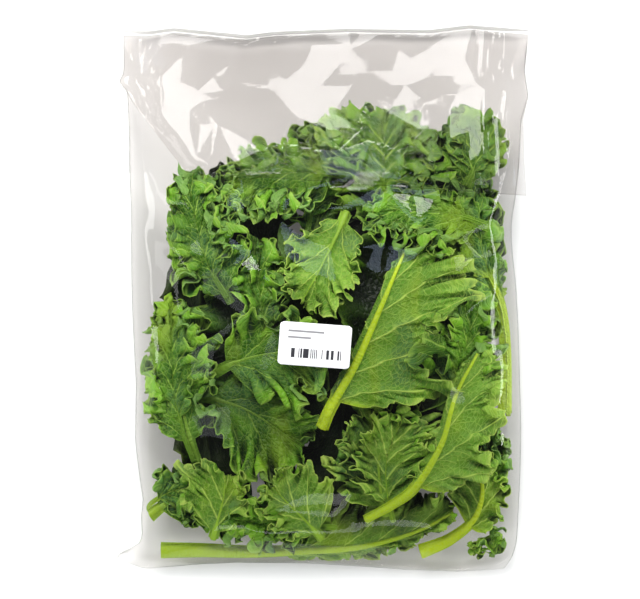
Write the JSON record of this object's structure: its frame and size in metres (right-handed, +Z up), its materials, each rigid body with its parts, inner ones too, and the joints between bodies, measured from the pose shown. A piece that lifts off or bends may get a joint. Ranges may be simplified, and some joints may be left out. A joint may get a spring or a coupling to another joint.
{
  "type": "bagged curly kale",
  "caption": "Curly kale leaves packed flat in a clear film bag with its empty top folded down over the front and a plain sticker on it.",
  "frame": {"origin": "middle of the bag's bounding box, on the surface that the bag lies on", "axes": "+Z up out of the bag's front, +Y from the bottom seam to the top fold, +X to the right seen from the front"},
  "size_m": [0.288, 0.376, 0.0621],
  "materials": {
    "leaf_upper": "waxy, dark green upper side of a kale leaf with pale veins",
    "leaf_under": "paler, matt underside of a kale leaf with raised light green ribs",
    "film": "clear, glossy, creased film",
    "label": "smooth white sticker with plain grey bars"
  },
  "bodies": {
    "root": {"kale_leaf_01": "leaf_under", "kale_leaf_02": "leaf_under", "kale_leaf_03": "leaf_under", "kale_leaf_04": "leaf_under", "kale_leaf_05": "leaf_under", "kale_leaf_06": "leaf_upper", "kale_leaf_07": "leaf_upper", "kale_leaf_08": "leaf_under", "kale_leaf_09": "leaf_upper", "kale_leaf_10": "leaf_upper", "kale_leaf_11": "leaf_upper", "kale_leaf_12": "leaf_upper", "kale_leaf_13": "leaf_upper", "kale_leaf_14": "leaf_under", "kale_leaf_15": "leaf_under", "kale_leaf_16": "leaf_upper", "kale_leaf_17": "leaf_upper", "kale_leaf_18": "leaf_upper", "kale_leaf_19": "leaf_under", "kale_leaf_20": "leaf_under", "kale_leaf_21": "leaf_upper", "kale_leaf_22": "leaf_upper", "kale_leaf_23": "leaf_upper", "kale_leaf_24": "leaf_upper", "kale_leaf_25": "leaf_upper", "kale_leaf_26": "leaf_upper", "kale_leaf_27": "leaf_upper", "kale_leaf_28": "leaf_upper", "kale_leaf_29": "leaf_upper", "kale_scrap_01": "leaf_under", "kale_scrap_02": "leaf_upper", "bag": "film", "label": "label"}
  },
  "joints": []
}
